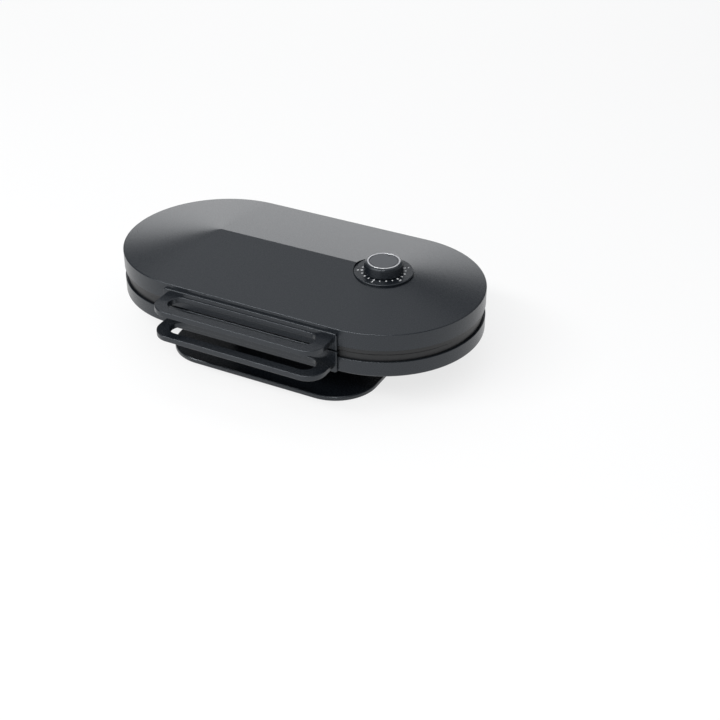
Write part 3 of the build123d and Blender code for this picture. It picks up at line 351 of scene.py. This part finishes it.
# Cut-outs, terminal block, cord clamp and thermostat case: small blocks that are screwed down near the
# heat. They are pressed from a pale heat-proof moulding, dull and mottled.
pale = grained("pale_insulator", (0.62, 0.59, 0.5), 0.58, (120, 0.1), 1300, 0.06, 0.00006)
finish_frame("pale_insulator", pale)

# Lid frame: the black moulding that holds the upper plates. Its band stands out between the shell's
# wall and the parting groove.
lid_rim = span("lid_shell", "z")[0]


def skirt_edge(middle):
    """Is an edge's middle on the skirt's open face, or where it meets the shell's wall?"""
    at_the_wall = level_with(middle, lid_rim) and inside_plan(middle, body_plan) < 1.3
    return at_the_wall or level_with(middle, lid_face)


skirt = eased("lid_frame", 0.4, skirt_edge)
put("lid_frame_moulding", skirt, "lid", "black_moulding", black, "lid_frame")

# Lid shell: a hipped roof of satin charcoal plastic, straight along the front and back and round at
# both ends. It has a crisp ridge, a small round at the eave and a sunk seat for the dial.
end_x = half_length - half_width
ridge = span("lid_shell", "z")[1]
eave = 103.6
wall = 2.5
inner_eave = 101.43
inner_ridge = 117.78
roof_line = [
    (0, ridge - 0.05), (0.6, ridge - 0.1), (half_width, eave), (half_width, lid_rim),
    (half_width - wall, lid_rim), (half_width - wall, inner_eave), (0, inner_ridge)]


def grown_points(grown):
    """The points among what an extrusion has made."""
    return [item for item in grown["geom"] if isinstance(item, bmesh.types.BMVert)]


def run_round(shape):
    """Carries a section round the body's plan: half a turn at each end, and straight along the sides."""
    bmesh.ops.spin(
        shape, geom=shape.verts[:] + shape.edges[:], cent=(0, 0, 0), axis=(0, 0, 1), dvec=(0, 0, 0),
        angle=pi, steps=96, use_merge=False, use_duplicate=False)
    bmesh.ops.remove_doubles(shape, verts=shape.verts, dist=0.001)
    moved(shape, (end_x, body_y, 0))
    cut = [edge for edge in shape.edges if len(edge.link_faces) == 1]
    grown = bmesh.ops.extrude_edge_only(shape, edges=cut)
    bmesh.ops.translate(shape, vec=(-end_x, 0, 0), verts=grown_points(grown))
    whole = shape.verts[:] + shape.edges[:] + shape.faces[:]
    bmesh.ops.mirror(shape, geom=whole, merge_dist=0.001, axis="X")
    return mended(shape)


def fitted(shape, tool, how):
    """The shape with another one added to it or cut from it."""
    trial = []
    for form in (shape, tool):
        mesh = bpy.data.meshes.new("trial")
        form.to_mesh(mesh)
        form.free()
        trial.append(bpy.data.objects.new("trial", mesh))
        bpy.context.scene.collection.objects.link(trial[-1])
    knife = trial[0].modifiers.new("knife", "BOOLEAN")
    knife.operation = how
    knife.solver = "EXACT"
    knife.object = trial[1]
    bpy.context.view_layer.update()
    result = bmesh.new()
    result.from_object(trial[0], bpy.context.evaluated_depsgraph_get())
    for used in trial:
        mesh = used.data
        bpy.data.objects.remove(used)
        bpy.data.meshes.remove(mesh)
    return result


def post(spot, reach, low, high, steps=48):
    """A round bar that stands on a spot."""
    return moved(turned(section([(0, low), (reach, low), (reach, high), (0, high)]), steps), (*spot, 0))


dial_spot = (end_x, body_y)
seat, dial_face = span("dial_plate", "z")
dial_radius = 35
seat_wall = 2.5
seat_gap = 0.3
shaft_hole = 5
boss_inset = 13.8
boss_reach = (half_width - boss_inset) * cos(pi / 4)
side_boss_y = 98.8
boss_spots = [
    (sx * (end_x + boss_reach), body_y + sy * boss_reach) for sx in (-1, 1) for sy in (-1, 1)]
boss_spots += [(0, body_y - side_boss_y), (0, body_y + side_boss_y)]
boss_radius = 4.5
boss_low = 83.1
boss_high = 104.7
pilot_radius = 1.8
pilot_end = 93.3
boss_line = [
    (0, pilot_end), (pilot_radius, pilot_end), (pilot_radius, boss_low), (boss_radius, boss_low),
    (boss_radius, boss_high), (0, boss_high)]
added = [post(dial_spot, dial_radius + seat_wall, seat - seat_wall, seat + 0.15, 96)]
added += [moved(turned(section(boss_line), 48), (*spot, 0)) for spot in boss_spots]
roof = run_round(section(roof_line, {2: 1.2, 3: 0.4, 4: 0.3}))
roof = fitted(roof, gathered(added), "UNION")
roof = fitted(roof, post(dial_spot, dial_radius + seat_gap, seat, ridge + 10, 128), "DIFFERENCE")
roof = fitted(roof, post(dial_spot, shaft_hole, seat - 15, seat + 5), "DIFFERENCE")
bmesh.ops.remove_doubles(roof, verts=roof.verts, dist=0.003)
put("lid_shell_moulding", roof, "lid", "charcoal_moulding", charcoal, "lid_shell")

# Dial plate: a charcoal disc glued into the lid's seat, with a thin gap round it and a pale scale
# printed on it. Off is at the back, and the numbers one to five run clockwise.
dial_line = [(shaft_hole, seat), (dial_radius, seat), (dial_radius, dial_face), (shaft_hole, dial_face)]
disc = moved(turned(section(dial_line, {1: 0.3, 2: 0.9}, closed=True), 128), (*dial_spot, 0))
put("dial_plate_moulding", disc, "lid", "charcoal_moulding", charcoal, "dial_plate")
ink = grained("white_mark", (0.8, 0.81, 0.82), 0.5, (300, 0.06), 2500, 0.08, 0.00001)


def bar(length, width, reach, turn):
    """A thin printed line with round ends, that points away from the dial's middle."""
    shape = bmesh.new()
    bmesh.ops.create_grid(shape, x_segments=1, y_segments=1, size=0.5)
    bmesh.ops.scale(shape, vec=(length, width, 1), verts=shape.verts)
    bmesh.ops.bevel(
        shape, geom=shape.verts[:], affect="VERTICES", offset=0.45 * width, offset_type="OFFSET",
        segments=4, profile=0.5, material=-1, clamp_overlap=False)
    moved(shape, (reach + length / 2, 0, 0))
    bmesh.ops.rotate(shape, cent=(0, 0, 0), matrix=Matrix.Rotation(turn, 3, "Z"), verts=shape.verts)
    return shape


def figure(text, height, reach, turn):
    """A printed number that stands upright for someone in front of the machine."""
    writing = bpy.data.curves.new("writing", "FONT")
    writing.body = text
    writing.size = height
    writing.offset = 0.07
    writing.align_x = "CENTER"
    writing.align_y = "CENTER"
    held = bpy.data.objects.new("writing", writing)
    shape = bmesh.new()
    mesh = bpy.data.meshes.new_from_object(held)
    shape.from_mesh(mesh)
    bpy.data.objects.remove(held)
    bpy.data.meshes.remove(mesh)
    bpy.data.curves.remove(writing)
    bmesh.ops.remove_doubles(shape, verts=shape.verts, dist=0.03)
    bmesh.ops.delete(shape, geom=[e for e in shape.edges if not e.link_faces], context="EDGES")
    bmesh.ops.delete(shape, geom=[v for v in shape.verts if not v.link_faces], context="VERTS")
    return moved(shape, (reach * cos(turn), reach * sin(turn), 0))


first_mark = radians(41.5)
mark_pitch = radians(16.4)
mark_count = 17
marks_a_number = 4
mark_reach = 24.0
number_reach = 29.9
number_height = 4.7
marks = []
for count in range(mark_count):
    turn = first_mark - count * mark_pitch
    if count % marks_a_number == 0:
        marks.append(bar(2.7, 1.7, mark_reach, turn))
        marks.append(figure(str(1 + count // marks_a_number), number_height, number_reach, turn))
    else:
        marks.append(bar(2.4, 1.6 if count % 2 == 0 else 1.2, mark_reach + 0.2, turn))
sunk = 0.01
ink_height = 0.05
scale_print = moved(gathered(marks), (*dial_spot, dial_face - sunk))
grown = bmesh.ops.extrude_face_region(scale_print, geom=scale_print.faces[:])
bmesh.ops.translate(scale_print, vec=(0, 0, ink_height), verts=grown_points(grown))
bmesh.ops.recalc_face_normals(scale_print, faces=scale_print.faces)
put("dial_scale_print", scale_print, "lid", "white_mark", ink)

# Knob: a hollow charcoal moulding with a sloped shoulder, pressed on the thermostat's shaft. A turned
# ring of bright metal and a dark cap are let into its top, and a short sunk line points to the scale.
knob_low, knob_top = span("knob_body", "z")
socket_radius = 3.05
hub_radius = 7
socket_end = 128
hollow_radius = 20.9
hollow_end = 126.5
skirt_radius = 23.3
shoulder_radius = 22.4
brow_radius = 21.5
ring_outside = 19.4
ring_inside = 17.2
ring_floor = span("knob_ring", "z")[0]
cap_edge = 16.4
cap_floor = span("knob_cap", "z")[0]
knob_line = [
    (0, socket_end), (socket_radius, socket_end), (socket_radius, knob_low), (hub_radius, knob_low),
    (hub_radius, hollow_end), (hollow_radius, hollow_end), (hollow_radius, knob_low),
    (skirt_radius, knob_low), (shoulder_radius, knob_top - 2), (brow_radius, knob_top - 0.6),
    (ring_outside, knob_top),
    (ring_outside, ring_floor), (ring_inside, ring_floor), (ring_inside, knob_top),
    (cap_edge, knob_top), (cap_edge, cap_floor), (0, cap_floor)]
knob = turned(section(knob_line, {7: 0.4, 8: 0.7, 9: 0.7, 10: 0.12, 13: 0.12, 14: 0.12}), 128)
put("knob_moulding", moved(knob, (*dial_spot, 0)), "dial", "charcoal_moulding", charcoal, "knob_body")


def spun_lines(material, scale, strength):
    """Turns a finish's grain into the fine rings that a lathe leaves round the dial's axis."""
    tree = material.node_tree
    drawn = tree.nodes["drawn"]
    drawn.inputs["Location"].default_value = (-end_x / 1000, -body_y / 1000, 0)
    flat = tree.nodes.new("ShaderNodeVectorMath")
    flat.operation = "MULTIPLY"
    flat.inputs[1].default_value = (1, 1, 0)
    away = tree.nodes.new("ShaderNodeVectorMath")
    away.operation = "LENGTH"
    rings = tree.nodes.new("ShaderNodeTexNoise")
    rings.noise_dimensions = "1D"
    rings.inputs["Scale"].default_value = scale
    rings.inputs["Detail"].default_value = 3
    tree.links.new(drawn.outputs["Vector"], flat.inputs[0])
    tree.links.new(flat.outputs["Vector"], away.inputs[0])
    tree.links.new(away.outputs["Value"], rings.inputs["W"])
    tree.links.new(rings.outputs["Fac"], tree.nodes["gloss"].inputs["Value"])
    tree.links.new(rings.outputs["Fac"], tree.nodes["bump"].inputs["Height"])
    tree.nodes["bump"].inputs["Strength"].default_value = strength
    return material


bright = grained("bright_trim", (0.82, 0.82, 0.84), 0.3, (90, 0.03), 800, 0.1, 0.00002, metallic=1)
spun_lines(bright, 5000, 0.3)
play = 0.15
ring_line = [
    (ring_inside + play, ring_floor), (ring_outside - play, ring_floor), (ring_outside - play, knob_top),
    (ring_inside + play, knob_top)]
ring = moved(turned(section(ring_line, {2: 0.3, 3: 0.3}, closed=True), 128), (*dial_spot, 0))
put("knob_ring_trim", ring, "dial", "bright_trim", bright, "knob_ring")
cap_grey = grained("dark_cap", (0.055, 0.06, 0.068), 0.34, (60, 0.05), 1500, 0.06, 0.00002)
spun_lines(cap_grey, 3000, 0.25)
cap = eased("knob_cap", 0.12, lambda p: p.z > knob_top - 0.1, steps=2)
put("knob_cap_disc", cap, "dial", "dark_cap", cap_grey, "knob_cap")
pointer = eased("knob_pointer", 0.1, lambda p: p.z > knob_top - 0.1, steps=2)
pointer_top = [vertex for vertex in pointer.verts if vertex.co.z > knob_top - 0.2]
bmesh.ops.translate(pointer, vec=(0, 0, -0.6), verts=pointer_top)
# The pointer is given the black moulding's colour as painted shade: the black stands for the shadow in its
# sunk groove, not for the pale mark's own colour.
put("knob_pointer_painted_shade", pointer, "dial", "black_moulding", black, "knob_pointer")

# Loop handles: one charcoal moulding each, a thin plate screwed to the wall from inside and a flat loop
# that stands out of it. The loops have the same plan, so they close into one grip. All rims are rounded.


def band(corners, rounds):
    """A closed flat line through a few corners, with some of them rounded."""
    shape = bmesh.new()
    line = [shape.verts.new((x, y, 0)) for x, y in corners]
    for start, end in zip(line, line[1:] + line[:1]):
        shape.edges.new((start, end))
    for corner, (width, steps) in rounds.items():
        bmesh.ops.bevel(
            shape, geom=[line[corner]], affect="VERTICES", offset=width, offset_type="OFFSET",
            segments=steps, profile=0.5, material=-1, clamp_overlap=False)
    return shape


def thickened(shape, depth):
    """Fills the lines of a flat shape and makes it a slab as thick as the depth."""
    bmesh.ops.triangle_fill(shape, use_beauty=True, edges=shape.edges[:])
    bmesh.ops.dissolve_limit(shape, angle_limit=radians(1), verts=shape.verts, edges=shape.edges)
    grown = bmesh.ops.extrude_face_region(shape, geom=shape.faces[:])
    bmesh.ops.translate(shape, vec=(0, 0, depth), verts=grown_points(grown))
    return mended(shape)


def rounded_rims(shape, width, chosen):
    """Rounds the sharp edges whose ends are both among the chosen points."""
    edges = [
        edge for edge in shape.edges
        if edge.calc_face_angle(0) > radians(60) and all(chosen(end.co) for end in edge.verts)]
    bmesh.ops.bevel(
        shape, geom=edges, affect="EDGES", offset=width, offset_type="OFFSET", segments=4,
        profile=0.5, material=-1, clamp_overlap=False)
    return shape


loop_front = span("upper_handle", "y")[0]
loop_back = -108.8
loop_half = 110
loop_corner = 22
loop_thick = 7
slot_half = 95
slot_front = loop_front + 12
slot_back = -111.2
slot_end = (slot_back - slot_front) / 2 - 0.01
plate_half = span("upper_handle", "x")[1]
plate_thick = 3.2
rim_round = 1.1


def loop_rim(end):
    """Is a point on a loop's upper or lower rim, and clear of its straight back edge?"""
    on_rim = end.z < 0.01 or end.z > loop_thick - 0.01
    off_back = end.y < loop_back - 0.01 or abs(end.x) > loop_half - 0.1
    return on_rim and off_back and loop_front - 1 < end.y < loop_back + 0.01


def handle_form(loop_low, plate_low, plate_high, low_round, high_round):
    """A handle whose loop and plate stand at these heights, with its plate's corners rounded so."""
    outer = band(
        [(-loop_half, loop_back), (-loop_half, loop_front),
         (loop_half, loop_front), (loop_half, loop_back)],
        {1: (loop_corner, 16), 2: (loop_corner, 16)})
    slot = band(
        [(-slot_half, slot_front), (slot_half, slot_front),
         (slot_half, slot_back), (-slot_half, slot_back)],
        {corner: (slot_end, 10) for corner in range(4)})
    loop = rounded_rims(thickened(gathered([outer, slot]), loop_thick), rim_round, loop_rim)
    moved(loop, (0, 0, loop_low))
    plate = band(
        [(-plate_half, plate_low), (plate_half, plate_low),
         (plate_half, plate_high), (-plate_half, plate_high)],
        {0: (low_round, 5), 1: (low_round, 5), 2: (high_round, 5), 3: (high_round, 5)})
    plate = rounded_rims(thickened(plate, plate_thick), rim_round, lambda end: end.z > plate_thick - 0.01)
    bmesh.ops.rotate(plate, cent=(0, 0, 0), matrix=Matrix.Rotation(pi / 2, 3, "X"), verts=plate.verts)
    moved(plate, (0, body_front, 0))
    return fitted(plate, loop, "UNION")


outer_round = 3.0
parting_round = 0.8
upper_loop_low = 86.3
lower_loop_low = 53.8
upper = handle_form(upper_loop_low, *span("upper_handle", "z"), parting_round, outer_round)
put("upper_handle_moulding", upper, "lid", "charcoal_moulding", charcoal, "upper_handle")
lower = handle_form(lower_loop_low, *span("lower_handle", "z"), outer_round, parting_round)
put("lower_handle_moulding", lower, "base", "charcoal_moulding", charcoal, "lower_handle")

# Hinges: zinc die castings in black powder paint. Each base bracket has two lugs, each lid arm a
# knuckle between them, and a steel pin with a clip joins them.
paint = grained("hinge_paint", (0.017, 0.018, 0.02), 0.42, (40, 0.1), 650, 0.08, 0.00012)
hinge_y = body_rear + 9
bore_rim = 5.5


def off_the_bore(middle):
    """Is an edge's middle clear of the hinge pin's bore and its rims?"""
    return hypot(middle.y - hinge_y, middle.z - parting) > bore_rim


for side in ("left", "right"):
    for node, body in ((f"hinge_bracket_{side}", "base"), (f"hinge_arm_{side}", "lid")):
        cast = eased(node, 0.3, off_the_bore, widest=24)
        put(f"{node}_casting", cast, body, "hinge_paint", paint, node)

# Studio: a wide white paper floor that keeps the shadow, in even pale surroundings. Large soft boxes
# hang overhead and in front, and one stands low behind, whose light lies on the back of the roof.
ground = bmesh.new()
bmesh.ops.create_grid(ground, x_segments=1, y_segments=1, size=100)
mesh = bpy.data.meshes.new("floor")
ground.to_mesh(mesh)
ground.free()
floor = bpy.data.objects.new("floor", mesh)
bpy.context.scene.collection.objects.link(floor)
paper = bpy.data.materials.new("paper")
paper.use_nodes = True
tree = paper.node_tree
shader = tree.nodes["Principled BSDF"]
shader.inputs["Base Color"].default_value = (0.95, 0.95, 0.95, 1)
shader.inputs["Roughness"].default_value = 0.9
shader.inputs["Specular IOR Level"].default_value = 0.1
mesh.materials.append(paper)
glow = tree.nodes.new("ShaderNodeEmission")
glow.inputs["Strength"].default_value = 1
path = tree.nodes.new("ShaderNodeLightPath")
mirrored = tree.nodes.new("ShaderNodeMath")
mirrored.operation = "MAXIMUM"
seen = tree.nodes.new("ShaderNodeMath")
seen.operation = "MAXIMUM"
share = tree.nodes.new("ShaderNodeMath")
share.operation = "MULTIPLY"
share.inputs[1].default_value = 0.75
blend = tree.nodes.new("ShaderNodeMixShader")
tree.links.new(path.outputs["Is Glossy Ray"], mirrored.inputs[0])
tree.links.new(path.outputs["Is Transmission Ray"], mirrored.inputs[1])
tree.links.new(path.outputs["Is Camera Ray"], seen.inputs[0])
tree.links.new(mirrored.outputs[0], seen.inputs[1])
tree.links.new(seen.outputs[0], share.inputs[0])
tree.links.new(share.outputs[0], blend.inputs[0])
tree.links.new(shader.outputs[0], blend.inputs[1])
tree.links.new(glow.outputs[0], blend.inputs[2])
tree.links.new(blend.outputs[0], tree.nodes["Material Output"].inputs[0])

world = bpy.data.worlds.new("studio")
bpy.context.scene.world = world
world.use_nodes = True
world.node_tree.nodes["Background"].inputs["Color"].default_value = (0.135, 0.145, 0.16, 1)
world.node_tree.nodes["Background"].inputs["Strength"].default_value = 1


def soft_box(name, place, target, width, height, power):
    """A large lamp with an even face, turned to a target."""
    lamp = bpy.data.lights.new(name, "AREA")
    lamp.shape = "RECTANGLE"
    lamp.size = width
    lamp.size_y = height
    lamp.energy = power
    stand = bpy.data.objects.new(name, lamp)
    stand.location = place
    stand.rotation_euler = (Vector(place) - Vector(target)).to_track_quat("Z", "Y").to_euler()
    bpy.context.scene.collection.objects.link(stand)


soft_box("overhead", (0, 0, 2.2), (0, 0, 0), 4.6, 4.6, 44)
soft_box("key", (-0.3, -1.7, 1.9), (0, 0, 0.1), 3.4, 0.4, 52)
soft_box("behind", (-1.1, 2.25, 0.67), (0, 0, 0.1), 2.2, 1.1, 12.5)
soft_box("front", (-0.9, -2.4, 0.7), (0, 0, 0.1), 3.0, 1.4, 17)

# Camera: a long lens, a little above the machine and to its right. Its place and its reach were
# fitted to the outlines of the lid, the base and the dial.
azimuth = radians(27.46)
elevation = radians(32.31)
camera_distance = 1.6424
back = Vector((sin(azimuth) * cos(elevation), -cos(azimuth) * cos(elevation), sin(elevation)))
right = Vector((cos(azimuth), sin(azimuth), 0))
aim = Vector((0.09158, -0.0098, 0.00351))
camera = bpy.data.objects.new("camera", bpy.data.cameras.new("camera"))
camera.data.lens = 68.94
camera.data.sensor_width = 36
facing = Matrix((right, back.cross(right), back)).transposed().to_4x4()
camera.matrix_world = Matrix.Translation(aim + camera_distance * back) @ facing
bpy.context.scene.collection.objects.link(camera)
bpy.context.scene.camera = camera
bpy.context.scene.view_settings.view_transform = "Standard"
